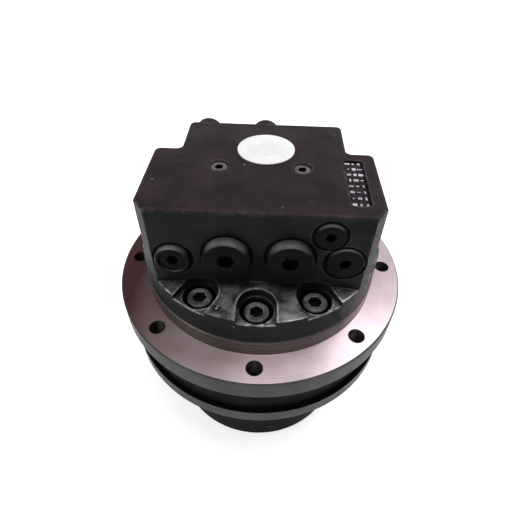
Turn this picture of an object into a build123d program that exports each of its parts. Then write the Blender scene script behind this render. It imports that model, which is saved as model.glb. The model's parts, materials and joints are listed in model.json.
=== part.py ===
from build123d import *
import os
from math import acos, cos, pi, radians, sin, sqrt, tan

# Excavator final drive: hydraulic motor, parking brake and two planetary stages in one track drive.
# The drive axis is Z. Z = 0 is the face of the flange that bolts to the track frame, motor side up.

# Clearances
running_gap = 0.05
seat_gap = 0.02
free_gap = 0.5
face_gap = 0.1
tooth_play = 0.5

# Motor
shaft_r = 10.0
spline_r = 9.0
shaft_stub_r = 7.0
shaft_end_r = 6.5
piston_count = 7
piston_r = 5.5
piston_neck_r = 3.0
piston_circle_r = 19.5
piston_out = 9.0
piston_taper = 3.0
piston_cover = 8.0
barrel_wall = 5.0
barrel_length = 38.0
shoe_foot_r = 7.6
shoe_foot_h = 2.5
shoe_cup_r = 5.0
shoe_cup_h = 5.0
retainer_t = 2.0
valve_plate_t = 4.0
kidney_half_width = 2.5
kidney_span = 130.0
swash_t = 10.0
cradle_r = 4.0
cradle_length = 12.0
cradle_x = 22.0
shaft_bearing_wall = 11.0
shaft_bearing_h = 12.0
shaft_seal_wall = 6.0
shaft_seal_h = 6.0
stub_bearing_wall = 4.0
stub_bearing_h = 13.0
case_gap = 4.0

# Parking brake
brake_plate_t = 2.0
friction_plate_count = 2
friction_plate_width = 13.0
separator_overlap = 10.0
brake_piston_width = 8.5
brake_piston_step = 12.5
brake_travel = 1.5
brake_head_h = 7.0
brake_spring_count = 6
brake_spring_r = 3.6
brake_spring_wall = 1.2
brake_spring_depth = 5.0

# Frame side
pilot_h = 12.0
flange_t = 16.0
frame_bolt_count = 8
frame_hole_r = 5.5
pilot_to_frame_bolts = 9.5
flange_edge = 11.5
edge_chamfer = 1.0

# Bolts that hold the valve block on the spindle
cover_bolt_angles = (-120, -90, -60, 30, 60, 90, 120, 150)
cover_bolt_r = 5.0
cover_bolt_head_r = 8.0
cover_bolt_head_h = 10.0
cover_bolt_reach = 18.0
cover_bolt_inner_wall = 8.8
cover_bolt_edge = 12.2
cover_bolt_hex = 8.0
cover_bolt_hex_depth = 5.0
cover_bolt_chamfer = 0.8

# Valve block
base_inset = 0.4
base_seat_h = 6.4
base_rim_h = 20.5
base_rise = 3.5
base_chamfer = 0.8
block_h = 77.0
block_front_step = 29.6
block_side_step = 12.9
block_rear_step = 33.8
block_notch = 17.2
block_shoulder = 12.5
block_corner_r = 4.0
block_top_r = 1.6
pocket_r = 12.2
pocket_wall_h = 5.6
pocket_roof_h = 3.0
pocket_roof_r = 7.5
head_sunk = 1.0
head_gap = 2.6
recess_width = 11.6
recess_length = 46.9
recess_side_inset = 8.7
recess_front_inset = 10.7
recess_depth = 1.5
recess_corner_r = 2.0
disc_r = 18.6
disc_t = 0.6
disc_x = 1.5
disc_y = 13.8

# Plugs: collar radius, how far the collar stands out of the face, socket across its flats, and place as a
# part of the block's half width
main_collar_r = 14.0
main_proud = 6.0
main_hex = 10.0
main_place = 0.265
main_rise = 21.4
left_collar_r = 10.8
left_proud = 3.0
left_place = 0.722
left_rise = 17.1
right_collar_r = 11.8
right_proud = 0.8
right_place = 0.722
right_rise = 18.4
drain_hex = 7.0
pilot_collar_r = 9.2
pilot_proud = 1.5
pilot_hex = 6.0
pilot_place = 0.567
pilot_drop = 13.9
rear_collar_r = 10.0
rear_proud = 9.0
rear_hex = 8.0
rear_drop = 11.0
rear_x = (-41.5, 0.0)
rear_spotface_gap = 1.0
gauge_plug_r = 5.0
gauge_sunk = 1.0
gauge_sink = 1.2
gauge_hex = 5.0
gauge_x = (-27.0, 24.4)
gauge_y = -7.0
collar_land = 3.0
collar_chamfer = 1.0
plug_stem = 12.0
plug_hex_depth = 5.0
dish_rim = 2.4
dish_depth = 1.2
spotface_gap = 1.5
spotface_depth = 1.2

# Counterbalance spool, across the block
spool_r = 8.0
spool_waist_r = 5.5
spool_spring_length = 11.0
spool_land = 14.0
spool_travel = 4.0
spool_y = -22.0
spool_rise = 26.0
spool_spring_r = 6.5
spool_spring_wall = 1.5
spool_plug_collar_r = 12.0
spool_plug_hex = 10.0
spool_plug_seat = 5.0
spool_plug_stem = 10.0

# Hub
hub_gap = 2.5
seal_housing_wall = 17.0
seal_housing_h = 26.5
sprocket_flange_t = 11.0
sprocket_flange_width = 26.2
sprocket_bolt_count = 9
sprocket_hole_r = 4.25
sprocket_hole_depth = 12.0
sprocket_bolt_inset = 13.2
case_wall = 12.0
case_chamfer = 1.5

# Main bearings, taper rollers back to back
bearing_section = 16.0
bearing_h = 14.0
bearing_tilt = 15.0
bearing_spacing = 4.0
bearing_rib = 5.0
roller_r = 3.0
roller_length = 11.0
roller_count = 12
bearing_shoulder = 6.0
shoulder_h = 4.0
nut_h = 8.0
nut_step = 3.0
nut_width = 11.0
nut_slot_count = 4
nut_slot_width = 7.0
nut_slot_depth = 3.0
nose_land = 2.0
nose_wall = 6.0

# Face seal between spindle and hub
seal_recess = 6.0
seal_core_gap = 3.0
seal_ring_width = 8.0
seal_rubber_width = 4.0
seal_rubber_h = 5.0
seal_ring_lift = 2.0
seal_core_r = 66.0

# Gears
gear_module = 2.2
ring_teeth = 48
planet_teeth = 18
sun_teeth = 12
pressure_angle = 20.0
gear_addendum = 0.85
gear_dedendum = 1.25
planet_angles = (90, 210, 330)
pin_r = 6.5
pin_wall = 3.5
pin_seat = 12.0
pin_tail = 1.0
washer_t = 1.5
washer_width = 4.0
second_stage_h = 16.0
first_stage_h = 10.0
stage_gap = 1.5
carrier_t = 6.5
carrier_edge = 4.0
sun_stub_r = 9.5

# End cover
cover_gap = 1.6
cover_t = 10.0
cover_step = 3.0
retaining_ring_h = 2.5
retaining_ring_width = 4.5
retaining_groove = 3.0
rim_h = 1.5
thrust_pad_r = 9.0
thrust_pad_h = 2.2
oil_plug_circle_r = 38.0
oil_collar_r = 8.0
oil_plug_hex = 6.0

# Radii, worked out from the shaft outwards
barrel_r = piston_circle_r + piston_r + barrel_wall
cavity_r = barrel_r + case_gap
friction_outer_r = barrel_r + friction_plate_width
plate_bore_r = friction_outer_r + free_gap + brake_plate_t
brake_bore_r = plate_bore_r + brake_piston_step
cover_bolt_circle_r = brake_bore_r + cover_bolt_inner_wall + cover_bolt_r
pilot_r = cover_bolt_circle_r + cover_bolt_edge
frame_bolt_circle_r = pilot_r + pilot_to_frame_bolts
flange_r = frame_bolt_circle_r + flange_edge
base_r = pilot_r - base_inset
block_front = base_r - block_front_step
block_wide = base_r - block_side_step
block_rear = base_r - block_rear_step
block_narrow = block_wide - block_notch
block_corner_x = sqrt(base_r**2 - block_front**2)
block_corner_y = sqrt(base_r**2 - block_wide**2)
main_x = main_place * block_wide
shaft_bearing_r = shaft_r + shaft_bearing_wall
shaft_seal_r = shaft_r + shaft_seal_wall
stub_bearing_r = shaft_stub_r + stub_bearing_wall
planet_circle_r = gear_module * (sun_teeth + planet_teeth) / 2
ring_pitch_r = gear_module * ring_teeth / 2
ring_root_r = ring_pitch_r + gear_dedendum * gear_module
nose_r = planet_circle_r + pin_r + pin_wall
bearing_bore_r = nose_r + nut_step
bearing_outer_r = bearing_bore_r + bearing_section
shoulder_r = bearing_bore_r + bearing_shoulder
ring_seat_r = max(bearing_outer_r, ring_root_r + gear_module) + edge_chamfer
case_r = ring_seat_r + case_wall
sprocket_flange_r = case_r + sprocket_flange_width
sprocket_bolt_circle_r = case_r + sprocket_bolt_inset
seal_ring_inner_r = seal_core_r + seal_core_gap
seal_ring_outer_r = seal_ring_inner_r + seal_ring_width
seal_bore_r = seal_ring_outer_r + seal_rubber_width
seal_housing_r = seal_bore_r + seal_housing_wall
roller_axis_r = bearing_bore_r + bearing_section / 2

# Heights of the motor and the brake, worked out from the joint face downwards
joint_z = pilot_h
valve_plate_bottom = joint_z - valve_plate_t
barrel_top = valve_plate_bottom - face_gap
barrel_bottom = barrel_top - barrel_length
shoe_top = barrel_bottom - piston_out
swash_top = shoe_top - shoe_cup_h - shoe_foot_h - face_gap
swash_bottom = swash_top - swash_t
cavity_floor = swash_bottom - cradle_r
shaft_bearing_bottom = cavity_floor - shaft_bearing_h
shaft_seal_bottom = shaft_bearing_bottom - shaft_seal_h
brake_plate_pitch = brake_plate_t + face_gap
brake_stack_h = (2 * friction_plate_count + 1) * brake_plate_pitch
brake_piston_top = joint_z - brake_travel - face_gap
brake_step_z = brake_piston_top - brake_head_h
brake_ledge_z = brake_step_z - brake_travel
plate_floor = brake_ledge_z - edge_chamfer - brake_stack_h - brake_plate_t

# Heights of the hub and the gear train, worked out from the flange downwards
seal_roof = seal_recess - flange_t
hub_top = -flange_t - hub_gap
sprocket_flange_top = hub_top - seal_housing_h
sprocket_flange_bottom = sprocket_flange_top - sprocket_flange_t
seal_floor = sprocket_flange_top + shoulder_h - edge_chamfer
bearing_top = seal_floor - shoulder_h / 2
core_bottom = bearing_top + shoulder_h
bearing_middle = bearing_top - bearing_h
lower_bearing_top = bearing_middle - bearing_spacing
nut_top = lower_bearing_top - bearing_h
nut_bottom = nut_top - nut_h
nose_end = min(nut_bottom - nose_land, shaft_seal_bottom - nose_wall)
second_top = nose_end - washer_t - 2 * face_gap
second_bottom = second_top - second_stage_h
carrier_top = second_bottom - stage_gap - pin_tail
carrier_bottom = carrier_top - carrier_t
first_top = carrier_bottom - washer_t - 2 * face_gap
first_bottom = first_top - first_stage_h
cover_top = first_bottom - cover_gap - pin_tail
cover_bottom = cover_top - cover_t
case_bottom = cover_bottom - retaining_ring_h - rim_h
ring_gear_top = nose_end - face_gap
ring_gear_bottom = cover_top + edge_chamfer

# Heights of the valve block, worked out from the joint face upwards
bolt_seat_z = joint_z + base_seat_h
pocket_floor = bolt_seat_z + cover_bolt_head_h + head_sunk
base_rim_z = joint_z + base_rim_h
base_top_z = base_rim_z + base_rise
block_top = joint_z + block_h
main_z = base_top_z + main_rise
spool_z = base_top_z + spool_rise
plug_inner_x = block_wide - spool_plug_seat - spool_plug_stem
spool_length = 2 * (plug_inner_x - spool_spring_length - spool_travel - face_gap)

# Planes of the faces that carry plugs
front_face = Plane(origin=(0, -block_front, 0), x_dir=(1, 0, 0), z_dir=(0, -1, 0))
rear_face = Plane(origin=(0, block_rear, 0), x_dir=(-1, 0, 0), z_dir=(0, 1, 0))
top_face = Plane.XY.offset(block_top)
cover_face = Plane(origin=(0, 0, cover_bottom), x_dir=(1, 0, 0), z_dir=(0, 0, -1))
spool_line = Plane(origin=(0, spool_y, spool_z), x_dir=(1, 0, 0), z_dir=(0, -1, 0))
spool_axis = Axis((0, spool_y, spool_z), (1, 0, 0))
spool_ends = [
    Plane(origin=(side * block_wide, spool_y, spool_z), x_dir=(0, side, 0), z_dir=(side, 0, 0))
    for side in (-1, 1)
]
bolt_turns = [Location((0, 0, 0), (0, 0, angle)) for angle in cover_bolt_angles]
planet_turns = [Location((0, 0, 0), (0, 0, angle)) for angle in planet_angles]

# Where each kind of plug sits, as points on its face
main_points = [(-main_x, main_z), (main_x, main_z)]
left_points = [(-left_place * block_wide, base_top_z + left_rise)]
right_points = [(right_place * block_wide, base_top_z + right_rise)]
pilot_points = [(pilot_place * block_wide, block_top - pilot_drop)]
rear_points = [(-x, block_top - rear_drop) for x in rear_x]
gauge_points = [(x, gauge_y) for x in gauge_x]
oil_points = [(-oil_plug_circle_r, 0), (oil_plug_circle_r, 0)]

pieces = {}


def keep(name, made):
    made.label = name
    pieces[name] = made


def plain_ring(inner_r, outer_r, bottom, top):
    with BuildPart() as made:
        with BuildSketch(Plane.XY.offset(bottom)):
            Circle(outer_r)
            Circle(inner_r, mode=Mode.SUBTRACT)
        extrude(amount=top - bottom)
    return made.part


def plugs(face, points, collar_r, proud, hex_size, dished=False, seat=spotface_depth, stem=plug_stem):
    stem_r = collar_r - collar_land
    with BuildPart() as made:
        with BuildSketch(face.offset(-seat)):
            with Locations(*points):
                Circle(collar_r)
        extrude(amount=seat + proud)
        chamfer(made.edges().group_by(Axis(face.origin, face.z_dir))[-1], collar_chamfer)
        with BuildSketch(face.offset(-seat)):
            with Locations(*points):
                Circle(stem_r)
        extrude(amount=-stem)
        if dished:
            with BuildSketch(face.offset(proud)):
                with Locations(*points):
                    Circle(collar_r - dish_rim)
            extrude(amount=-dish_depth, mode=Mode.SUBTRACT)
        with BuildSketch(face.offset(proud)):
            with Locations(*points):
                RegularPolygon(hex_size / 2, 6, major_radius=False)
        extrude(amount=-plug_hex_depth, mode=Mode.SUBTRACT)
    return made.part


def cut_plug_seats(face, points, collar_r, gap=spotface_gap, seat=spotface_depth, stem=plug_stem):
    with BuildSketch(face) as spotface:
        with Locations(*points):
            Circle(collar_r + gap)
    extrude(spotface.sketch, amount=-seat, mode=Mode.SUBTRACT)
    with BuildSketch(face.offset(-seat)) as bore:
        with Locations(*points):
            Circle(collar_r - collar_land + seat_gap)
    extrude(bore.sketch, amount=-stem, mode=Mode.SUBTRACT)


def involute(base_r, radius):
    # Angle that an involute has swept where it reaches a radius. Below its base circle it is radial.
    pressure = acos(min(1, base_r / radius))
    return tan(pressure) - pressure


def tooth_points(teeth, tip_r, root_r, first_angle):
    # Involute flanks, each as straight runs between the root, the base or middle, the pitch line and the tip.
    pitch_r = gear_module * teeth / 2
    base_r = pitch_r * cos(radians(pressure_angle))
    outward = 1 if tip_r > root_r else -1
    low_r = max(base_r, (root_r + pitch_r) / 2)
    rising = (root_r, low_r, pitch_r, (pitch_r + tip_r) / 2, tip_r)
    points = []
    for tooth in range(teeth):
        middle = radians(first_angle) + 2 * pi * tooth / teeth
        for side, radii in ((-1, rising), (1, reversed(rising))):
            for radius in radii:
                swept = involute(base_r, pitch_r) - involute(base_r, radius)
                half = (pi * gear_module / 4 - tooth_play / 2) / pitch_r + outward * swept
                turn = middle + side * half
                points.append((radius * cos(turn), radius * sin(turn)))
    return points


def outer_gear(teeth, first_angle, centre, bore_r, bottom, top):
    pitch_r = gear_module * teeth / 2
    tip_r = pitch_r + gear_addendum * gear_module
    root_r = pitch_r - gear_dedendum * gear_module
    with BuildPart() as made:
        with BuildSketch(Plane.XY.offset(bottom)):
            with Locations(centre):
                Polygon(*tooth_points(teeth, tip_r, root_r, first_angle), align=None)
                Circle(bore_r, mode=Mode.SUBTRACT)
        extrude(amount=top - bottom)
    return made.part


# Spindle: frame flange, pilot, motor case and bearing nose in one piece
with BuildPart() as spindle:
    with BuildSketch(Plane.XZ):
        with BuildLine():
            Polyline(
                (brake_bore_r, joint_z),
                (pilot_r - edge_chamfer, joint_z),
                (pilot_r, joint_z - edge_chamfer),
                (pilot_r, 0),
                (flange_r - edge_chamfer, 0),
                (flange_r, -edge_chamfer),
                (flange_r, edge_chamfer - flange_t),
                (flange_r - edge_chamfer, -flange_t),
                (seal_bore_r, -flange_t),
                (seal_bore_r, seal_roof),
                (seal_core_r, seal_roof),
                (seal_core_r, core_bottom),
                (shoulder_r, core_bottom),
                (shoulder_r, bearing_top),
                (bearing_bore_r, bearing_top),
                (bearing_bore_r, nut_top),
                (nose_r, nut_top),
                (nose_r, nose_end),
                (shaft_end_r + free_gap, nose_end),
                (shaft_end_r + free_gap, shaft_seal_bottom),
                (shaft_seal_r, shaft_seal_bottom),
                (shaft_seal_r, shaft_bearing_bottom),
                (shaft_bearing_r, shaft_bearing_bottom),
                (shaft_bearing_r, cavity_floor),
                (cavity_r, cavity_floor),
                (cavity_r, plate_floor),
                (plate_bore_r, plate_floor),
                (plate_bore_r, brake_ledge_z),
                (brake_bore_r, brake_ledge_z),
                close=True,
            )
        make_face()
    revolve(axis=Axis.Z)
    with PolarLocations(frame_bolt_circle_r, frame_bolt_count, start_angle=-90):
        Hole(frame_hole_r)
    with BuildSketch(Plane.XY.offset(joint_z)):
        with Locations(*bolt_turns):
            with Locations((cover_bolt_circle_r, 0)):
                Circle(cover_bolt_r + seat_gap)
    extrude(amount=-cover_bolt_reach, mode=Mode.SUBTRACT)
    with BuildSketch(Plane.XY.offset(nose_end)):
        with Locations(*planet_turns):
            with Locations((planet_circle_r, 0)):
                Circle(pin_r + seat_gap)
    extrude(amount=pin_seat, mode=Mode.SUBTRACT)
keep("spindle", spindle.part)

# Valve block: round base with a sloping shoulder, and the T-shaped block on it
with BuildPart() as valve_block:
    with BuildSketch(Plane.XY.offset(joint_z)) as plan:
        with BuildLine():
            Polyline(
                (0, -block_front),
                (block_corner_x, -block_front),
                (block_wide, -block_corner_y),
                (block_wide, block_shoulder),
                (block_narrow, block_shoulder),
                (block_narrow, block_rear),
                (0, block_rear),
            )
            mirror(about=Plane.YZ)
        make_face()
        fillet(plan.vertices().group_by(Axis.Y)[-1], block_corner_r)
        shoulder_line = (block_shoulder - face_gap, block_shoulder + face_gap)
        shoulder_corner_r = min(block_corner_r, block_notch / 3)
        fillet(plan.vertices().filter_by_position(Axis.Y, *shoulder_line), shoulder_corner_r)
    extrude(amount=block_h)
    fillet(valve_block.edges().group_by(Axis.Z)[-1], block_top_r)
    with BuildSketch(Plane.XZ):
        with BuildLine():
            Polyline(
                (0, joint_z),
                (base_r - base_chamfer, joint_z),
                (base_r, joint_z + base_chamfer),
                (base_r, base_rim_z),
                (block_front, base_top_z),
                (0, base_top_z),
                close=True,
            )
        make_face()
    revolve(axis=Axis.Z)
    # Arched pockets, open to the rim, with a counterbored bolt hole in each floor
    upward = (Align.CENTER, Align.CENTER, Align.MIN)
    with Locations(*bolt_turns):
        with Locations((cover_bolt_circle_r, 0, pocket_floor)):
            Cylinder(pocket_r, pocket_wall_h, align=upward, mode=Mode.SUBTRACT)
            Box(
                base_r,
                2 * pocket_r,
                pocket_wall_h,
                align=(Align.MIN, Align.CENTER, Align.MIN),
                mode=Mode.SUBTRACT,
            )
        with Locations((cover_bolt_circle_r, 0, pocket_floor + pocket_wall_h)):
            Cone(pocket_r, pocket_roof_r, pocket_roof_h, align=upward, mode=Mode.SUBTRACT)
    with BuildSketch(Plane.XY.offset(bolt_seat_z)):
        with Locations(*bolt_turns):
            with Locations((cover_bolt_circle_r, 0)):
                Circle(cover_bolt_head_r + head_gap)
    extrude(amount=pocket_floor - bolt_seat_z, mode=Mode.SUBTRACT)
    with BuildSketch(Plane.XY.offset(joint_z)):
        with Locations(*bolt_turns):
            with Locations((cover_bolt_circle_r, 0)):
                Circle(cover_bolt_r + free_gap)
    extrude(amount=base_seat_h, mode=Mode.SUBTRACT)
    # Bearing seat of the shaft stub
    with BuildSketch(Plane.XY.offset(joint_z)):
        Circle(stub_bearing_r + seat_gap)
    extrude(amount=stub_bearing_h + cover_gap, mode=Mode.SUBTRACT)
    # Spool bore across the block
    with BuildSketch(Plane.YZ.offset(-block_wide)):
        with Locations((spool_y, spool_z)):
            Circle(spool_r + running_gap)
    extrude(amount=2 * block_wide, mode=Mode.SUBTRACT)
    for end in spool_ends:
        cut_plug_seats(end, [(0, 0)], spool_plug_collar_r, free_gap, spool_plug_seat, spool_plug_stem)
    # Plug seats
    cut_plug_seats(front_face, main_points, main_collar_r)
    cut_plug_seats(front_face, left_points, left_collar_r)
    cut_plug_seats(front_face, right_points, right_collar_r)
    cut_plug_seats(front_face, pilot_points, pilot_collar_r)
    cut_plug_seats(rear_face, rear_points, rear_collar_r, rear_spotface_gap)
    with BuildSketch(top_face):
        with Locations(*gauge_points):
            Circle(gauge_plug_r + seat_gap)
    extrude(amount=-gauge_sunk - plug_stem, mode=Mode.SUBTRACT)
    with Locations(*[(x, y, block_top - gauge_sink) for x, y in gauge_points]):
        Cone(gauge_plug_r, gauge_plug_r + gauge_sink, gauge_sink, align=upward, mode=Mode.SUBTRACT)
    # Shallow recess in the top
    with BuildSketch(top_face):
        recess_x = block_wide - recess_side_inset - recess_width / 2
        recess_y = recess_front_inset - block_front + recess_length / 2
        with Locations((recess_x, recess_y)):
            RectangleRounded(recess_width, recess_length, recess_corner_r)
    extrude(amount=-recess_depth, mode=Mode.SUBTRACT)
keep("valve_block", valve_block.part)

# Socket head bolts through the base into the spindle
with BuildPart() as cover_bolts:
    with BuildSketch(Plane.XY.offset(bolt_seat_z)):
        with Locations(*bolt_turns):
            with Locations((cover_bolt_circle_r, 0)):
                Circle(cover_bolt_head_r)
    extrude(amount=cover_bolt_head_h)
    chamfer(cover_bolts.edges().group_by(Axis.Z)[-1], cover_bolt_chamfer)
    with BuildSketch(Plane.XY.offset(bolt_seat_z)):
        with Locations(*bolt_turns):
            with Locations((cover_bolt_circle_r, 0)):
                Circle(cover_bolt_r)
    extrude(amount=edge_chamfer - base_seat_h - cover_bolt_reach)
    with BuildSketch(Plane.XY.offset(bolt_seat_z + cover_bolt_head_h)):
        with Locations(*bolt_turns):
            with Locations((cover_bolt_circle_r, 0)):
                RegularPolygon(cover_bolt_hex / 2, 6, major_radius=False)
    extrude(amount=-cover_bolt_hex_depth, mode=Mode.SUBTRACT)
keep("cover_bolts", cover_bolts.part)

# Plugs
keep("main_port_plugs", plugs(front_face, main_points, main_collar_r, main_proud, main_hex))
left_plug = plugs(front_face, left_points, left_collar_r, left_proud, drain_hex, dished=True)
keep("left_drain_plug", left_plug)
keep("right_drain_plug", plugs(front_face, right_points, right_collar_r, right_proud, drain_hex))
keep("pilot_plug", plugs(front_face, pilot_points, pilot_collar_r, pilot_proud, pilot_hex))
keep("rear_plugs", plugs(rear_face, rear_points, rear_collar_r, rear_proud, rear_hex))

# Headless plugs sunk in the top
with BuildPart() as gauge_plugs:
    with BuildSketch(top_face.offset(-gauge_sunk)):
        with Locations(*gauge_points):
            Circle(gauge_plug_r)
    extrude(amount=-plug_stem)
    with BuildSketch(top_face.offset(-gauge_sunk)):
        with Locations(*gauge_points):
            RegularPolygon(gauge_hex / 2, 6, major_radius=False)
    extrude(amount=-plug_hex_depth, mode=Mode.SUBTRACT)
keep("gauge_plugs", gauge_plugs.part)

# Bare disc on the top
with BuildPart() as top_disc:
    with BuildSketch(top_face):
        with Locations((disc_x, disc_y)):
            Circle(disc_r)
    extrude(amount=disc_t)
keep("top_disc", top_disc.part)

# Counterbalance spool with three lands, and the plugs and springs at its ends
with BuildPart() as counterbalance_spool:
    half_length = spool_length / 2
    with BuildSketch(spool_line):
        with BuildLine():
            Polyline(
                (-half_length, 0),
                (-half_length, spool_r),
                (spool_land - half_length, spool_r),
                (spool_land - half_length, spool_waist_r),
                (-spool_land / 2, spool_waist_r),
                (-spool_land / 2, spool_r),
                (spool_land / 2, spool_r),
                (spool_land / 2, spool_waist_r),
                (half_length - spool_land, spool_waist_r),
                (half_length - spool_land, spool_r),
                (half_length, spool_r),
                (half_length, 0),
                close=True,
            )
        make_face()
    revolve(axis=spool_axis)
keep("counterbalance_spool", counterbalance_spool.part)

with BuildPart() as spool_plugs:
    for end in spool_ends:
        with BuildSketch(end.offset(-spool_plug_seat)):
            Circle(spool_plug_collar_r)
        extrude(amount=spool_plug_seat)
        with BuildSketch(end.offset(-spool_plug_seat)):
            Circle(spool_plug_collar_r - collar_land)
        extrude(amount=-spool_plug_stem)
        with BuildSketch(end):
            RegularPolygon(spool_plug_hex / 2, 6, major_radius=False)
        extrude(amount=-plug_hex_depth, mode=Mode.SUBTRACT)
keep("spool_plugs", spool_plugs.part)

# Springs at their shortest, seated on the plugs
with BuildPart() as spool_springs:
    for end in spool_ends:
        with BuildSketch(end.offset(-spool_plug_seat - spool_plug_stem)):
            Circle(spool_spring_r)
            Circle(spool_spring_r - spool_spring_wall, mode=Mode.SUBTRACT)
        extrude(amount=-spool_spring_length)
keep("spool_springs", spool_springs.part)

# Motor
with BuildPart() as drive_shaft:
    with BuildSketch(Plane.XZ):
        with BuildLine():
            Polyline(
                (0, joint_z + stub_bearing_h),
                (shaft_stub_r, joint_z + stub_bearing_h),
                (shaft_stub_r, joint_z),
                (spline_r, joint_z),
                (spline_r, barrel_bottom),
                (shaft_r, barrel_bottom),
                (shaft_r, shaft_seal_bottom + free_gap),
                (shaft_end_r, shaft_seal_bottom + free_gap),
                (shaft_end_r, first_bottom),
                (0, first_bottom),
                close=True,
            )
        make_face()
    revolve(axis=Axis.Z)
keep("drive_shaft", drive_shaft.part)

with BuildPart() as cylinder_block:
    with BuildSketch(Plane.XY.offset(barrel_bottom)):
        Circle(barrel_r)
        Circle(spline_r + seat_gap, mode=Mode.SUBTRACT)
        with PolarLocations(piston_circle_r, piston_count):
            Circle(piston_r + running_gap, mode=Mode.SUBTRACT)
    extrude(amount=barrel_length)
keep("cylinder_block", cylinder_block.part)

with BuildPart() as pistons:
    with BuildSketch(Plane.XY.offset(barrel_top - piston_cover)):
        with PolarLocations(piston_circle_r, piston_count):
            Circle(piston_r)
    extrude(amount=shoe_top + piston_taper - barrel_top + piston_cover)
    with BuildSketch(Plane.XY.offset(shoe_top + piston_taper)):
        with PolarLocations(piston_circle_r, piston_count):
            Circle(piston_neck_r)
    extrude(amount=-piston_taper)
keep("pistons", pistons.part)

with BuildPart() as piston_shoes:
    with BuildSketch(Plane.XY.offset(shoe_top)):
        with PolarLocations(piston_circle_r, piston_count):
            Circle(shoe_cup_r)
    extrude(amount=-shoe_cup_h)
    with BuildSketch(Plane.XY.offset(shoe_top - shoe_cup_h)):
        with PolarLocations(piston_circle_r, piston_count):
            Circle(shoe_foot_r)
    extrude(amount=-shoe_foot_h)
keep("piston_shoes", piston_shoes.part)

with BuildPart() as retainer_plate:
    with BuildSketch(Plane.XY.offset(shoe_top - shoe_cup_h)):
        Circle(piston_circle_r + shoe_foot_r + free_gap)
        Circle(shaft_r + free_gap, mode=Mode.SUBTRACT)
        with PolarLocations(piston_circle_r, piston_count):
            Circle(shoe_cup_r + free_gap, mode=Mode.SUBTRACT)
    extrude(amount=retainer_t)
keep("retainer_plate", retainer_plate.part)

with BuildPart() as valve_plate:
    with BuildSketch(Plane.XY.offset(valve_plate_bottom)):
        Circle(barrel_r - edge_chamfer)
        Circle(spline_r + free_gap, mode=Mode.SUBTRACT)
        for side in (0, 180):
            with BuildLine() as kidney:
                CenterArc((0, 0), piston_circle_r, side - kidney_span / 2, kidney_span)
            SlotArc(arc=kidney.edges()[0], height=2 * kidney_half_width, mode=Mode.SUBTRACT)
    extrude(amount=valve_plate_t)
keep("valve_plate", valve_plate.part)

swash_r = cavity_r - free_gap
keep("swash_plate", plain_ring(shaft_r + case_gap, swash_r, swash_bottom, swash_top))

# Half-round cradle bearings under the swash plate
with BuildPart() as swash_cradles:
    for side in (-1, 1):
        with BuildSketch(Plane.YZ.offset(side * cradle_x - cradle_length / 2)):
            with BuildLine():
                CenterArc((0, cavity_floor), cradle_r, 0, 180)
                Line((-cradle_r, cavity_floor), (cradle_r, cavity_floor))
            make_face()
        extrude(amount=cradle_length)
keep("swash_cradles", swash_cradles.part)

shaft_run_r = shaft_r + running_gap
keep("shaft_bearing", plain_ring(shaft_run_r, shaft_bearing_r, shaft_bearing_bottom, cavity_floor))
keep("shaft_seal", plain_ring(shaft_run_r, shaft_seal_r, shaft_seal_bottom, shaft_bearing_bottom))
stub_run_r = shaft_stub_r + running_gap
keep("stub_bearing", plain_ring(stub_run_r, stub_bearing_r, joint_z + face_gap, joint_z + stub_bearing_h))

# Parking brake: a stack that starts and ends with a separator plate
with BuildPart() as separator_plates:
    for step in range(friction_plate_count + 1):
        with BuildSketch(Plane.XY.offset(plate_floor + 2 * step * brake_plate_pitch)):
            Circle(plate_bore_r - seat_gap)
            Circle(friction_outer_r - separator_overlap, mode=Mode.SUBTRACT)
        extrude(amount=brake_plate_t)
keep("separator_plates", separator_plates.part)

with BuildPart() as friction_plates:
    for step in range(friction_plate_count):
        with BuildSketch(Plane.XY.offset(plate_floor + (2 * step + 1) * brake_plate_pitch)):
            Circle(friction_outer_r)
            Circle(barrel_r + seat_gap, mode=Mode.SUBTRACT)
        extrude(amount=brake_plate_t)
keep("friction_plates", friction_plates.part)

with BuildPart() as brake_piston:
    piston_inner_r = plate_bore_r - brake_piston_width
    spring_circle_r = (piston_inner_r + brake_bore_r) / 2
    with BuildSketch(Plane.XZ):
        with BuildLine():
            Polyline(
                (piston_inner_r, brake_piston_top),
                (brake_bore_r - running_gap, brake_piston_top),
                (brake_bore_r - running_gap, brake_step_z),
                (plate_bore_r - running_gap, brake_step_z),
                (plate_bore_r - running_gap, plate_floor + brake_stack_h),
                (piston_inner_r, plate_floor + brake_stack_h),
                close=True,
            )
        make_face()
    revolve(axis=Axis.Z)
    with BuildSketch(Plane.XY.offset(brake_piston_top)):
        with PolarLocations(spring_circle_r, brake_spring_count):
            Circle(brake_spring_r + free_gap)
    extrude(amount=-brake_spring_depth, mode=Mode.SUBTRACT)
keep("brake_piston", brake_piston.part)

with BuildPart() as brake_springs:
    with BuildSketch(Plane.XY.offset(brake_piston_top - brake_spring_depth)):
        with PolarLocations(spring_circle_r, brake_spring_count):
            Circle(brake_spring_r)
            Circle(brake_spring_r - brake_spring_wall, mode=Mode.SUBTRACT)
    extrude(amount=joint_z - brake_piston_top + brake_spring_depth)
keep("brake_springs", brake_springs.part)

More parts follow.
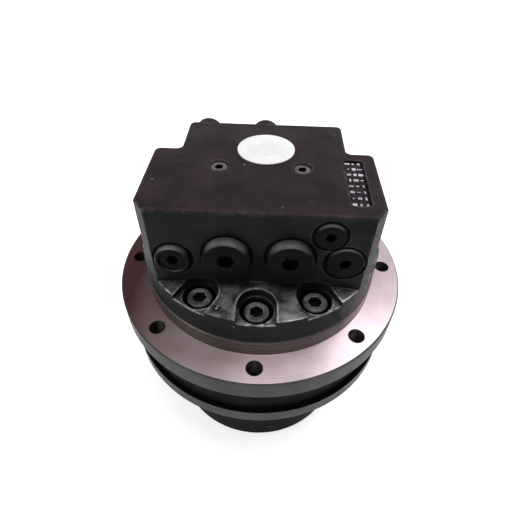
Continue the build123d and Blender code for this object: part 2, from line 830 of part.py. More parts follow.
# Hub: seal housing, sprocket flange and gear case in one piece
groove_r = ring_seat_r + retaining_groove
groove_top = cover_bottom
with BuildPart() as hub:
    with BuildSketch(Plane.XZ):
        with BuildLine():
            Polyline(
                (seal_bore_r, hub_top),
                (seal_housing_r - edge_chamfer, hub_top),
                (seal_housing_r, hub_top - edge_chamfer),
                (seal_housing_r, sprocket_flange_top),
                (sprocket_flange_r, sprocket_flange_top),
                (sprocket_flange_r, sprocket_flange_bottom),
                (case_r, sprocket_flange_bottom),
                (case_r, case_bottom + case_chamfer),
                (case_r - case_chamfer, case_bottom),
                (ring_seat_r, case_bottom),
                (ring_seat_r, groove_top - retaining_ring_h),
                (groove_r, groove_top - retaining_ring_h),
                (groove_r, groove_top),
                (ring_seat_r, groove_top),
                (ring_seat_r, ring_gear_top),
                (bearing_outer_r, ring_gear_top),
                (bearing_outer_r, lower_bearing_top),
                (bearing_outer_r - bearing_rib, lower_bearing_top),
                (bearing_outer_r - bearing_rib, bearing_middle),
                (bearing_outer_r, bearing_middle),
                (bearing_outer_r, seal_floor),
                (seal_bore_r, seal_floor),
                close=True,
            )
        make_face()
    revolve(axis=Axis.Z)
    with BuildSketch(Plane.XY.offset(sprocket_flange_bottom)):
        with PolarLocations(sprocket_bolt_circle_r, sprocket_bolt_count):
            Circle(sprocket_hole_r)
    extrude(amount=sprocket_hole_depth, mode=Mode.SUBTRACT)
keep("hub", hub.part)

# Ring gear, shared by both stages
with BuildPart() as ring_gear:
    with BuildSketch(Plane.XY.offset(ring_gear_bottom)):
        Circle(ring_seat_r - seat_gap)
        ring_tip_r = ring_pitch_r - gear_addendum * gear_module
        Polygon(
            *tooth_points(ring_teeth, ring_tip_r, ring_root_r, 0),
            align=None,
            mode=Mode.SUBTRACT,
        )
    extrude(amount=ring_gear_top - ring_gear_bottom)
keep("ring_gear", ring_gear.part)

# Suns, planets, carrier and pins
sun_bore_r = shaft_end_r + seat_gap
keep("first_sun", outer_gear(sun_teeth, 0, (0, 0), sun_bore_r, first_bottom, first_top))
sun_clear_r = shaft_end_r + free_gap
with BuildPart() as second_sun:
    add(outer_gear(sun_teeth, 0, (0, 0), sun_clear_r, second_bottom - stage_gap, second_top))
    with BuildSketch(Plane.XY.offset(carrier_bottom)):
        Circle(sun_stub_r)
        Circle(sun_clear_r, mode=Mode.SUBTRACT)
    extrude(amount=second_bottom - stage_gap - carrier_bottom)
keep("second_sun", second_sun.part)

planet_gap_angle = 180 / planet_teeth
for number, angle in enumerate(planet_angles, start=1):
    centre = (planet_circle_r * cos(radians(angle)), planet_circle_r * sin(radians(angle)))
    bore_r = pin_r + running_gap
    phase = angle + planet_gap_angle
    for stage, bottom, top in (("first", first_bottom, first_top), ("second", second_bottom, second_top)):
        keep(f"{stage}_planet_{number}", outer_gear(planet_teeth, phase, centre, bore_r, bottom, top))

with BuildPart() as first_carrier:
    with BuildSketch(Plane.XY.offset(carrier_bottom)):
        Circle(planet_circle_r + pin_r + carrier_edge)
        Circle(sun_stub_r + seat_gap, mode=Mode.SUBTRACT)
        with Locations(*planet_turns):
            with Locations((planet_circle_r, 0)):
                Circle(pin_r + seat_gap, mode=Mode.SUBTRACT)
    extrude(amount=carrier_t)
keep("first_carrier", first_carrier.part)

with BuildPart() as first_pins:
    with BuildSketch(Plane.XY.offset(carrier_top)):
        with Locations(*planet_turns):
            with Locations((planet_circle_r, 0)):
                Circle(pin_r)
    extrude(amount=first_bottom - pin_tail - carrier_top)
keep("first_pins", first_pins.part)

with BuildPart() as second_pins:
    with BuildSketch(Plane.XY.offset(nose_end + pin_seat - face_gap)):
        with Locations(*planet_turns):
            with Locations((planet_circle_r, 0)):
                Circle(pin_r)
    extrude(amount=second_bottom - pin_tail - nose_end - pin_seat + face_gap)
keep("second_pins", second_pins.part)

# Thrust washers between the planets and what carries their pins
for name, washer_top in (("first_washers", carrier_bottom), ("second_washers", nose_end)):
    with BuildPart() as washers:
        with BuildSketch(Plane.XY.offset(washer_top)):
            with Locations(*planet_turns):
                with Locations((planet_circle_r, 0)):
                    Circle(pin_r + washer_width)
                    Circle(pin_r + seat_gap, mode=Mode.SUBTRACT)
        extrude(amount=-washer_t)
    keep(name, washers.part)

# Main bearings: each ring row is turned with one sloping raceway
tilt = radians(bearing_tilt)
race_offset = (roller_r + running_gap) / cos(tilt)
race_swing = bearing_h / 2 * tan(tilt)
rows = ((bearing_middle, bearing_top, 1), (nut_top, lower_bearing_top, -1))
with BuildPart() as bearing_inner_rings:
    for low, high, lean in rows:
        with BuildSketch(Plane.XZ):
            with BuildLine():
                Polyline(
                    (bearing_bore_r + seat_gap, low),
                    (roller_axis_r - race_offset - lean * race_swing, low),
                    (roller_axis_r - race_offset + lean * race_swing, high),
                    (bearing_bore_r + seat_gap, high),
                    close=True,
                )
            make_face()
        revolve(axis=Axis.Z)
keep("bearing_inner_rings", bearing_inner_rings.part)

with BuildPart() as bearing_outer_rings:
    for low, high, lean in rows:
        with BuildSketch(Plane.XZ):
            with BuildLine():
                Polyline(
                    (bearing_outer_r - seat_gap, low),
                    (roller_axis_r + race_offset - lean * race_swing, low),
                    (roller_axis_r + race_offset + lean * race_swing, high),
                    (bearing_outer_r - seat_gap, high),
                    close=True,
                )
            make_face()
        revolve(axis=Axis.Z)
keep("bearing_outer_rings", bearing_outer_rings.part)

with BuildPart() as bearing_rollers:
    for low, high, lean in rows:
        for step in range(roller_count):
            turn = 2 * pi * step / roller_count
            outward = Vector(cos(turn), sin(turn), 0)
            along = outward * (lean * sin(tilt)) + Vector(0, 0, cos(tilt))
            start = outward * roller_axis_r + Vector(0, 0, (low + high) / 2) - along * (roller_length / 2)
            with BuildSketch(Plane(origin=start, z_dir=along)):
                Circle(roller_r)
            extrude(amount=roller_length)
keep("bearing_rollers", bearing_rollers.part)

with BuildPart() as bearing_nut:
    with BuildSketch(Plane.XY.offset(nut_bottom)):
        Circle(nose_r + nut_width)
        Circle(nose_r + seat_gap, mode=Mode.SUBTRACT)
        with PolarLocations(nose_r + nut_width, nut_slot_count):
            Rectangle(2 * nut_slot_depth, nut_slot_width, mode=Mode.SUBTRACT)
    extrude(amount=nut_h)
keep("bearing_nut", bearing_nut.part)

# Face seal: two metal rings, each centred by a rubber ring
seal_middle = (seal_roof + seal_floor) / 2
upper_ring_top = seal_roof - seal_ring_lift
lower_ring_bottom = seal_floor + seal_ring_lift
seal_face = seal_middle + face_gap
ring_radii = (seal_ring_inner_r, seal_ring_outer_r)
rubber_radii = (seal_ring_outer_r + seat_gap, seal_bore_r - seat_gap)
keep("upper_seal_ring", plain_ring(*ring_radii, seal_face, upper_ring_top))
keep("lower_seal_ring", plain_ring(*ring_radii, lower_ring_bottom, seal_middle))
keep("upper_seal_rubber", plain_ring(*rubber_radii, seal_roof - seal_rubber_h, seal_roof))
keep("lower_seal_rubber", plain_ring(*rubber_radii, seal_floor, seal_floor + seal_rubber_h))

# End cover with its retaining ring, thrust pad and oil plugs
with BuildPart() as end_cover:
    with BuildSketch(Plane.XY.offset(cover_bottom)):
        Circle(ring_seat_r - seat_gap)
    extrude(amount=cover_t)
    cut_plug_seats(cover_face, oil_points, oil_collar_r, seat_gap, cover_step, cover_t - cover_step)
keep("end_cover", end_cover.part)

retaining_inner_r = groove_r - seat_gap - retaining_ring_width
keep(
    "cover_retaining_ring",
    plain_ring(retaining_inner_r, groove_r - seat_gap, groove_top - retaining_ring_h, groove_top),
)

with BuildPart() as thrust_pad:
    with BuildSketch(Plane.XY.offset(cover_top)):
        Circle(thrust_pad_r)
    extrude(amount=thrust_pad_h)
keep("thrust_pad", thrust_pad.part)

oil_stem = cover_t - cover_step - face_gap
oil_plugs = plugs(cover_face, oil_points, oil_collar_r, 0, oil_plug_hex, seat=cover_step, stem=oil_stem)
keep("oil_plugs", oil_plugs)

os.makedirs("parts", exist_ok=True)
for name, made in pieces.items():
    export_step(made, f"parts/{name}.step")
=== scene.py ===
import bpy
import bmesh
import json
import math
from mathutils import Matrix, Vector


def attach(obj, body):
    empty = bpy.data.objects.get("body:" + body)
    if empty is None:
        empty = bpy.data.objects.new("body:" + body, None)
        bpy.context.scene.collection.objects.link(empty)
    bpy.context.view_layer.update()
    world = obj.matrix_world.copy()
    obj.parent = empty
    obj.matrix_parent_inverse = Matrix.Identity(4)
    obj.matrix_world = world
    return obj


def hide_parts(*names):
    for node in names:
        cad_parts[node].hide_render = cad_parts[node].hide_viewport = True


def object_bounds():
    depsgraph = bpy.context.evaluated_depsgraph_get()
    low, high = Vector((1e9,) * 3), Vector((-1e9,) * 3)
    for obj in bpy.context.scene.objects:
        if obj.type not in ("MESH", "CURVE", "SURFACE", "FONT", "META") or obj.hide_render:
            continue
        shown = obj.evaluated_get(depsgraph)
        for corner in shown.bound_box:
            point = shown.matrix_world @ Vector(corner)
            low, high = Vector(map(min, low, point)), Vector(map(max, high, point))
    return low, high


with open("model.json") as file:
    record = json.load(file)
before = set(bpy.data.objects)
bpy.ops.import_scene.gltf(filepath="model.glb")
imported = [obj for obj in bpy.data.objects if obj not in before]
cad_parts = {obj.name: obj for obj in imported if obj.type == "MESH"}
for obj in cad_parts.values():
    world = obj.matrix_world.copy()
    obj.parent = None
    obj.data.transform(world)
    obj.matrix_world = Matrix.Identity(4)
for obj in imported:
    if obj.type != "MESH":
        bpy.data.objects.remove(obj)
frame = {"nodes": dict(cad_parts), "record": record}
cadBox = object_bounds()
mm = 0.001

nodeBody = {n: body for body, names in frame["record"]["behaviour"]["bodies"].items() for n in names}
nodeSlot = {row["node"]: row["material_slot"] for row in frame["record"]["subparts"]}


# small helpers

shaderSamples = 6
noiseRoughness = 0.55


def newMaterial(name):
    material = bpy.data.materials.new(name)
    material.use_nodes = True
    tree = material.node_tree
    return material, tree, tree.nodes["Principled BSDF"]


def addNode(tree, kind, inputs=None, **settings):
    node = tree.nodes.new(kind)
    for key, value in settings.items():
        setattr(node, key, value)
    for key, value in (inputs or {}).items():
        node.inputs[key].default_value = value
    return node


def objectCoords(tree):
    return addNode(tree, "ShaderNodeTexCoord").outputs["Object"]


def noise(tree, coords, scale, detail=3.0):
    settings = {"Scale": scale, "Detail": detail, "Roughness": noiseRoughness}
    node = addNode(tree, "ShaderNodeTexNoise", settings)
    tree.links.new(coords, node.inputs["Vector"])
    return node.outputs["Fac"]


def spread(tree, value, low, high, toLow=0.0, toHigh=1.0):
    node = addNode(tree, "ShaderNodeMapRange", {1: low, 2: high, 3: toLow, 4: toHigh})
    tree.links.new(value, node.inputs[0])
    return node.outputs[0]


def maths(tree, operation, first, second):
    node = addNode(tree, "ShaderNodeMath", operation=operation)
    for socket, value in zip(node.inputs, (first, second)):
        if isinstance(value, float):
            socket.default_value = value
        else:
            tree.links.new(value, socket)
    return node.outputs[0]


def blendColours(tree, factor, first, second):
    node = addNode(tree, "ShaderNodeMix", data_type="RGBA")
    tree.links.new(factor, node.inputs["Factor"])
    for socket, colour in ((node.inputs[6], first), (node.inputs[7], second)):
        if isinstance(colour, tuple):
            socket.default_value = (*colour, 1.0)
        else:
            tree.links.new(colour, socket)
    return node.outputs[2]


def bump(tree, height, strength, distance, normal):
    node = addNode(tree, "ShaderNodeBump", {"Strength": strength, "Distance": distance})
    tree.links.new(height, node.inputs["Height"])
    tree.links.new(normal, node.inputs["Normal"])
    return node.outputs["Normal"]


def roundedNormal(tree, radius):
    node = addNode(tree, "ShaderNodeBevel", {"Radius": radius}, samples=shaderSamples)
    return node.outputs["Normal"]


# cast and painted finishes

paintSet = {
    "clouds": (0.38, 0.64),
    "facing": (0.35, 0.95),
    "edgeTurn": (0.995, 0.90),
    "chipScale": 300.0,
    "chips": (0.36, 0.62),
    "patchScale": 70.0,
    "patches": (0.34, 0.56),
    "knockScale": 130.0,
    "knockBlur": 0.03,
    "roughScale": 140.0,
    "roughs": (0.3, 0.7),
    "lumpStrength": 0.6,
    "peelScale": 1500.0,
    "peelStrength": 0.3,
    "dullCorners": (0.50, 0.85),
    "dullShare": 0.1,
}
blockLook = {
    "base": (0.0140, 0.0172, 0.0166), "patch": (0.0078, 0.0100, 0.0097),
    "upward": (0.024, 0.0152, 0.0190), "edge": (0.13, 0.095, 0.098),
    "gloss": 0.06, "rough": (0.38, 0.52), "edgeWidth": 3.0 * mm, "round": 0.8 * mm,
    "lump": 0.10 * mm, "lumpScale": 420.0, "peel": 0.04 * mm,
    "corner": 6.0 * mm, "cornerShade": (0.35, 0.95), "edgeWearAndHighlight": (0.86, 0.99),
    "specks": 0.745, "cloud": 45.0, "fade": 0.45,
}
# webs: the upward and edge colours are far paler than the block's, painted light from above and painted
# highlights on the pocket lips
webLook = {
    "base": (0.016, 0.016, 0.017), "patch": (0.006, 0.006, 0.006),
    "upward": (0.205, 0.200, 0.212), "edge": (0.85, 0.83, 0.85),
    "gloss": 0.55, "rough": (0.12, 0.26), "edgeWidth": 2.4 * mm, "round": 1.8 * mm,
    "lump": 1.5 * mm, "lumpScale": 120.0, "peel": 0.14 * mm,
    "corner": 15.0 * mm, "cornerShade": (0.52, 0.90), "edgeWearAndHighlight": (0.52, 0.80),
    "specks": 0.76, "cloud": 85.0, "fade": 0.08,
}
# plugs: the pale upward colour is painted light on the tops of the collars
plugLook = {
    "base": (0.0075, 0.0092, 0.0092), "patch": (0.0042, 0.0052, 0.0052),
    "upward": (0.31, 0.315, 0.31), "edge": (0.040, 0.043, 0.042),
    "gloss": 0.03, "rough": (0.30, 0.42), "edgeWidth": 0.9 * mm, "round": 1.6 * mm,
    "lump": 0.08 * mm, "lumpScale": 500.0, "peel": 0.04 * mm,
    "corner": 9.0 * mm, "cornerShade": (0.35, 0.95), "edgeWearAndHighlight": (0.60, 0.90),
    "specks": 0.80, "cloud": 60.0, "fade": 0.55,
}
# bolts: the pale upward colour is painted light on the heads, and the pale edge colour a painted highlight on
# their rims
boltLook = {
    "base": (0.020, 0.020, 0.021), "patch": (0.006, 0.006, 0.006),
    "upward": (0.19, 0.180, 0.190), "edge": (0.50, 0.50, 0.51),
    "gloss": 0.5, "rough": (0.14, 0.28), "edgeWidth": 0.8 * mm, "round": 0.9 * mm,
    "lump": 0.6 * mm, "lumpScale": 420.0, "peel": 0.05 * mm,
    "corner": 4.0 * mm, "cornerShade": (0.35, 0.95), "edgeWearAndHighlight": (0.40, 0.80),
    "specks": 0.74, "cloud": 110.0, "fade": 0.30,
}
hubLook = {
    "base": (0.0105, 0.0105, 0.0100), "patch": (0.0045, 0.0045, 0.0044),
    "upward": (0.0050, 0.0050, 0.0050), "edge": (0.050, 0.050, 0.050),
    "gloss": 0.015, "rough": (0.38, 0.52), "edgeWidth": 2.0 * mm, "round": 0.8 * mm,
    "lump": 0.20 * mm, "lumpScale": 300.0, "peel": 0.04 * mm,
    "corner": 6.0 * mm, "cornerShade": (0.35, 0.95), "edgeWearAndHighlight": (0.70, 0.95),
    "specks": 0.80, "cloud": 30.0, "fade": 0.60,
}


def edgeMask(tree, radius):
    # 0 on flats, 1 where a rounded edge turns away from the true face
    soft = roundedNormal(tree, radius)
    true = addNode(tree, "ShaderNodeNewGeometry").outputs["True Normal"]
    dot = addNode(tree, "ShaderNodeVectorMath", operation="DOT_PRODUCT")
    tree.links.new(soft, dot.inputs[0])
    tree.links.new(true, dot.inputs[1])
    return spread(tree, dot.outputs["Value"], *paintSet["edgeTurn"])


def facingUp(tree):
    normal = addNode(tree, "ShaderNodeNewGeometry").outputs["Normal"]
    parts = addNode(tree, "ShaderNodeSeparateXYZ")
    tree.links.new(normal, parts.inputs[0])
    return spread(tree, parts.outputs["Z"], *paintSet["facing"])


def openness(tree, distance):
    # 1 in the open, lower in inner corners
    node = addNode(tree, "ShaderNodeAmbientOcclusion", {"Distance": distance}, samples=shaderSamples)
    return node.outputs["AO"]


def castPaint(name, look):
    material, tree, shader = newMaterial(name)
    coords = objectCoords(tree)
    cloud = spread(tree, noise(tree, coords, look["cloud"], detail=4.0), *paintSet["clouds"])
    colour = blendColours(tree, cloud, look["patch"], look["base"])
    # a second colour where it faces the sky, in faded patches: dust, and where it is paler than the base,
    # painted light from above
    fadedUpward = tuple(look["fade"] * c for c in look["upward"])
    dustAndToplight = blendColours(tree, cloud, fadedUpward, look["upward"])
    colour = blendColours(tree, facingUp(tree), colour, dustAndToplight)
    # bare on open edges and in a few knocks; on the webs and bolts the pale edge colour is a painted
    # highlight. Painted shade: darker in the inner corners
    corners = openness(tree, look["corner"])
    chips = spread(tree, noise(tree, coords, paintSet["chipScale"]), *paintSet["chips"])
    patches = spread(tree, noise(tree, coords, paintSet["patchScale"], detail=2.0), *paintSet["patches"])
    broken = maths(tree, "MULTIPLY", chips, patches)
    wornOrLit = maths(tree, "MULTIPLY", broken, spread(tree, corners, *look["edgeWearAndHighlight"]))
    knocks = spread(tree, noise(tree, coords, paintSet["knockScale"], detail=2.0),
                    look["specks"], look["specks"] + paintSet["knockBlur"])
    onEdges = maths(tree, "MULTIPLY", edgeMask(tree, look["edgeWidth"]), wornOrLit)
    bareOrLit = maths(tree, "MAXIMUM", onEdges, knocks)
    colour = blendColours(tree, bareOrLit, colour, look["edge"])
    # painted shade: the dark patch colour in the inner corners
    colour = blendColours(tree, spread(tree, corners, *look["cornerShade"]), look["patch"], colour)
    tree.links.new(colour, shader.inputs["Base Color"])
    rough = noise(tree, coords, paintSet["roughScale"], detail=4.0)
    tree.links.new(spread(tree, rough, *paintSet["roughs"], *look["rough"]), shader.inputs["Roughness"])
    lumps = bump(tree, noise(tree, coords, look["lumpScale"]), paintSet["lumpStrength"], look["lump"],
                 roundedNormal(tree, look["round"]))
    peel = bump(tree, noise(tree, coords, paintSet["peelScale"], detail=2.0), paintSet["peelStrength"],
                look["peel"], lumps)
    tree.links.new(peel, shader.inputs["Normal"])
    # dirt takes the shine off the inner corners
    dullGloss = paintSet["dullShare"] * look["gloss"]
    shine = spread(tree, corners, *paintSet["dullCorners"], dullGloss, look["gloss"])
    tree.links.new(shine, shader.inputs["Specular IOR Level"])
    return material


# turned steel

turnSet = {
    "cloudScale": 28.0,
    "clouds": (0.35, 0.68),
    "streaks": (0.35, 0.65),
    "groove": 0.10,
    "grooveDepth": 0.02 * mm,
    "round": 0.6 * mm,
    "roughScale": 90.0,
    "roughs": (0.3, 0.7),
    "acrossMarks": 0.25,
}
sideShadeSet = {"from": 2.0 * mm, "to": -82.0 * mm, "ragged": 16.0 * mm, "raggedScale": 22.0}
flangeLook = {
    "pale": (0.63, 0.53, 0.56), "dull": (0.52, 0.41, 0.43), "sideShade": (0.060, 0.024, 0.025),
    "metal": 0.45, "gloss": 0.10, "rough": (0.33, 0.40), "grain": 0.75, "marks": 0.10, "pitch": 900.0,
}
sideLook = {
    "pale": (0.12, 0.098, 0.094), "dull": (0.070, 0.056, 0.053), "sideShade": (0.046, 0.032, 0.031),
    "metal": 0.4, "gloss": 0.40, "rough": (0.34, 0.46), "grain": 0.5, "marks": 0.55, "pitch": 420.0,
}
rimLook = {
    "pale": (0.086, 0.088, 0.080), "dull": (0.050, 0.052, 0.047), "sideShade": (0.032, 0.032, 0.029),
    "metal": 0.0, "gloss": 0.12, "rough": (0.36, 0.48), "grain": 0.3, "marks": 0.25, "pitch": 700.0,
}
bandLook = {
    "pale": (0.082, 0.084, 0.079), "dull": (0.048, 0.049, 0.046), "sideShade": (0.030, 0.030, 0.028),
    "metal": 0.0, "gloss": 0.12, "rough": (0.38, 0.50), "grain": 0.3, "marks": 0.25, "pitch": 700.0,
}


def turnedSteel(name, look):
    material, tree, shader = newMaterial(name)
    coords = objectCoords(tree)
    cloud = spread(tree, noise(tree, coords, turnSet["cloudScale"], detail=5.0), *turnSet["clouds"])
    unshadedTone = blendColours(tree, cloud, look["dull"], look["pale"])
    # painted shade: darker towards the -X side, with a ragged edge
    parts = addNode(tree, "ShaderNodeSeparateXYZ")
    tree.links.new(coords, parts.inputs[0])
    wander = noise(tree, coords, sideShadeSet["raggedScale"], detail=4.0)
    ragged = maths(tree, "MULTIPLY", wander, sideShadeSet["ragged"])
    side = maths(tree, "ADD", parts.outputs["X"], ragged)
    sideShadeMask = spread(tree, side, sideShadeSet["from"], sideShadeSet["to"])
    sideShaded = blendColours(tree, sideShadeMask, unshadedTone, look["sideShade"])
    # tool marks run round the axis, on the face and on the walls alike
    squares = [maths(tree, "POWER", parts.outputs[axis], 2.0) for axis in ("X", "Y")]
    radius = maths(tree, "POWER", maths(tree, "ADD", *squares), 0.5)
    marks = addNode(tree, "ShaderNodeTexNoise", {"Scale": look["pitch"], "Detail": 2.0},
                    noise_dimensions="1D")
    tree.links.new(maths(tree, "ADD", radius, parts.outputs["Z"]), marks.inputs["W"])
    shade = spread(tree, marks.outputs["Fac"], *turnSet["streaks"], 1.0 - look["marks"], 1.0)
    marked = addNode(tree, "ShaderNodeMix", {"Factor": 1.0}, data_type="RGBA", blend_type="MULTIPLY")
    tree.links.new(sideShaded, marked.inputs[6])
    tree.links.new(shade, marked.inputs[7])
    tree.links.new(marked.outputs[2], shader.inputs["Base Color"])
    rings = addNode(tree, "ShaderNodeTexWave",
                    {"Scale": 90.0, "Distortion": 0.5, "Detail": 2.0, "Detail Scale": 3.0},
                    wave_type="RINGS", rings_direction="Z", wave_profile="SIN")
    tree.links.new(coords, rings.inputs["Vector"])
    grooves = bump(tree, rings.outputs["Fac"], turnSet["groove"], turnSet["grooveDepth"],
                   roundedNormal(tree, turnSet["round"]))
    tree.links.new(grooves, shader.inputs["Normal"])
    rough = noise(tree, coords, turnSet["roughScale"], detail=4.0)
    tree.links.new(spread(tree, rough, *turnSet["roughs"], *look["rough"]), shader.inputs["Roughness"])
    shader.inputs["Metallic"].default_value = look["metal"]
    shader.inputs["Specular IOR Level"].default_value = look["gloss"]
    # the gloss spreads across the tool marks
    shader.inputs["Anisotropic"].default_value = look["grain"]
    shader.inputs["Anisotropic Rotation"].default_value = turnSet["acrossMarks"]
    tangent = addNode(tree, "ShaderNodeTangent", direction_type="RADIAL", axis="Z")
    tree.links.new(tangent.outputs["Tangent"], shader.inputs["Tangent"])
    return material


# plain metals and rubbers

metalSet = {
    "cloudScale": 120.0,
    "clouds": (0.35, 0.65),
    "roughScale": 400.0,
    "roughs": (0.3, 0.7),
    "roughSwing": (0.8, 1.2),
    "grainScale": 900.0,
    "grain": 0.15,
    "grainDepth": 0.05 * mm,
    "round": 0.4 * mm,
}


def plainMetal(name, colour, rough, dark=0.75, metallic=1.0):
    material, tree, shader = newMaterial(name)
    coords = objectCoords(tree)
    cloud = spread(tree, noise(tree, coords, metalSet["cloudScale"], detail=4.0), *metalSet["clouds"])
    shade = tuple(c * dark for c in colour)
    tree.links.new(blendColours(tree, cloud, shade, colour), shader.inputs["Base Color"])
    swing = [rough * share for share in metalSet["roughSwing"]]
    blur = spread(tree, noise(tree, coords, metalSet["roughScale"]), *metalSet["roughs"], *swing)
    tree.links.new(blur, shader.inputs["Roughness"])
    grain = bump(tree, noise(tree, coords, metalSet["grainScale"]), metalSet["grain"], metalSet["grainDepth"],
                 roundedNormal(tree, metalSet["round"]))
    tree.links.new(grain, shader.inputs["Normal"])
    shader.inputs["Metallic"].default_value = metallic
    return material


finishes = {
    "block_paint": castPaint("blockPaint", blockLook),
    "hub_paint": castPaint("hubPaint", hubLook),
    "machined_steel": turnedSteel("turnedSide", sideLook),
    "plug_steel": castPaint("plugPaint", plugLook),
    "bolt_steel": castPaint("boltPaint", boltLook),
    "disc_metal": plainMetal("discMetal", (0.80, 0.80, 0.795), rough=0.5, dark=0.86, metallic=0.0),
    "gear_steel": plainMetal("gearSteel", (0.50, 0.49, 0.48), rough=0.30),
    "bearing_steel": plainMetal("bearingSteel", (0.70, 0.70, 0.70), rough=0.16, dark=0.9),
    "spring_steel": plainMetal("springSteel", (0.35, 0.35, 0.37), rough=0.35),
    "bronze": plainMetal("bronze", (0.66, 0.50, 0.28), rough=0.32),
    "lining": plainMetal("frictionLining", (0.25, 0.20, 0.16), rough=0.85, dark=0.7, metallic=0.0),
    "seal_rubber": plainMetal("sealRubber", (0.03, 0.03, 0.03), rough=0.75, dark=0.8, metallic=0.0),
}
flangeSteel = turnedSteel("flangeSteel", flangeLook)
rimSteel = turnedSteel("rimSteel", rimLook)
bandSteel = turnedSteel("bandSteel", bandLook)
webPaint = castPaint("webPaint", webLook)
markPaint = plainMetal("markPaint", (0.60, 0.57, 0.66), rough=0.5, dark=0.3, metallic=0.0)
bareSteel = plainMetal("bareSteel", (0.17, 0.155, 0.16), rough=0.28, dark=0.3)
print("finishes made:", len(finishes))

for nodeName, node in frame["nodes"].items():
    node.data.materials.clear()
    node.data.materials.append(finishes[nodeSlot[nodeName]])


# pieces that take the CAD shape with smooth faces

smoothSet = {"angle": 32.0, "flat": 0.2, "merge": 0.001 * mm}


def faceGroups(work, joined):
    # lists of faces that hang together over edges whose two faces are joined, and each face's list number
    groups = []
    groupOf = [-1] * len(work.faces)
    for start in work.faces:
        if groupOf[start.index] >= 0:
            continue
        groupOf[start.index] = len(groups)
        stack = [start]
        group = []
        while stack:
            face = stack.pop()
            group.append(face)
            for other in (f for edge in face.edges for f in edge.link_faces):
                if groupOf[other.index] < 0 and joined(face, other):
                    groupOf[other.index] = len(groups)
                    stack.append(other)
        groups.append(group)
    return groups, groupOf


def evenNormals(mesh):
    # Each corner takes the normals round its vertex that lie within the angle of its own face. A flat face
    # counts once, by its whole area, so that large flats stay flat beside small fillets.
    work = bmesh.new()
    work.from_mesh(mesh)
    work.faces.ensure_lookup_table()
    flat = math.radians(smoothSet["flat"])
    regions, regionOf = faceGroups(work, lambda face, other: face.normal.angle(other.normal, 0.0) < flat)
    areas = [sum(face.calc_area() for face in region) for region in regions]
    limit = math.cos(math.radians(smoothSet["angle"]))
    normals = []
    for face in work.faces:
        for corner in face.loops:
            near = [other for other in corner.vert.link_faces if other.normal.dot(face.normal) > limit]
            found = {regionOf[other.index]: other.normal for other in near}
            total = sum((normal * areas[key] for key, normal in found.items()), Vector())
            normals.append(total.normalized() if total.length > 0 else face.normal.copy())
    work.free()
    mesh.shade_smooth()
    mesh.normals_split_custom_set(normals)


def smoothCopy(nodeName, pieceName):
    mesh = frame["nodes"][nodeName].data.copy()
    work = bmesh.new()
    work.from_mesh(mesh)
    bmesh.ops.remove_doubles(work, verts=work.verts, dist=smoothSet["merge"])
    work.to_mesh(mesh)
    work.free()
    mesh.name = pieceName
    evenNormals(mesh)
    piece = bpy.data.objects.new(pieceName, mesh)
    bpy.context.scene.collection.objects.link(piece)
    return piece


def settle(piece, nodeName):
    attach(piece, nodeBody[nodeName])
    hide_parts(nodeName)


# plugs and bolts, with hexagon sockets painted dark as shade

socketSet = {"reach": 0.50, "sunk": 0.3 * mm}


def darkSockets(piece, along, finish):
    # Each solid of the piece has its socket on its own axis.
    work = bmesh.new()
    work.from_mesh(piece.data)
    work.faces.ensure_lookup_table()
    across = [i for i in range(3) if i != along]
    inside = []
    for solid in faceGroups(work, lambda face, other: True)[0]:
        points = [v.co for face in solid for v in face.verts]
        low = [min(p[i] for p in points) for i in range(3)]
        high = [max(p[i] for p in points) for i in range(3)]
        collar = (high[across[0]] - low[across[0]]) / 2
        for face in solid:
            centre = face.calc_center_median()
            off = math.hypot(*(centre[i] - (low[i] + high[i]) / 2 for i in across))
            sunk = min(centre[along] - low[along], high[along] - centre[along])
            if off < socketSet["reach"] * collar and sunk > socketSet["sunk"]:
                inside.append(face.index)
    work.free()
    # painted shade: the faces inside each socket take a darker finish
    piece.data.materials.append(finish)
    for index in inside:
        piece.data.polygons[index].material_index = len(piece.data.materials) - 1


# node, piece, finish, finish of the sockets, and the axis that the sockets lie along
blockPaint, plugPaint, socketShadePaint = finishes["block_paint"], finishes["plug_steel"], finishes["hub_paint"]
plugSet = (
    ("main_port_plugs", "mainPlugs", plugPaint, socketShadePaint, 1),
    ("left_drain_plug", "leftPlug", plugPaint, socketShadePaint, 1),
    ("right_drain_plug", "rightPlug", plugPaint, socketShadePaint, 1),
    ("pilot_plug", "pilotPlug", plugPaint, socketShadePaint, 1),
    ("rear_plugs", "rearPlugs", blockPaint, socketShadePaint, 1),
    ("spool_plugs", "spoolPlugs", plugPaint, socketShadePaint, 0),
    ("gauge_plugs", "gaugePlugs", bareSteel, socketShadePaint, 2),
    ("cover_bolts", "coverBolts", finishes["bolt_steel"], blockPaint, 2),
)
for nodeName, pieceName, finish, socketFinish, along in plugSet:
    piece = smoothCopy(nodeName, pieceName)
    piece.data.materials[0] = finish
    darkSockets(piece, along, socketFinish)
    settle(piece, nodeName)

for nodeName, pieceName in (("top_disc", "topDisc"), ("end_cover", "endCover")):
    settle(smoothCopy(nodeName, pieceName), nodeName)

# the webs and pocket floors round the bolts carry thick, glossy paint, whose pale colour facing up is painted
# light
webSet = {"floor": 28.0 * mm, "top": 36.4 * mm, "upright": 0.35}
blockCasting = smoothCopy("valve_block", "blockCasting")
blockCasting.data.materials.append(webPaint)
for face in blockCasting.data.polygons:
    if webSet["floor"] < face.center.z < webSet["top"] and face.normal.z > webSet["upright"]:
        face.material_index = 1
settle(blockCasting, "valve_block")

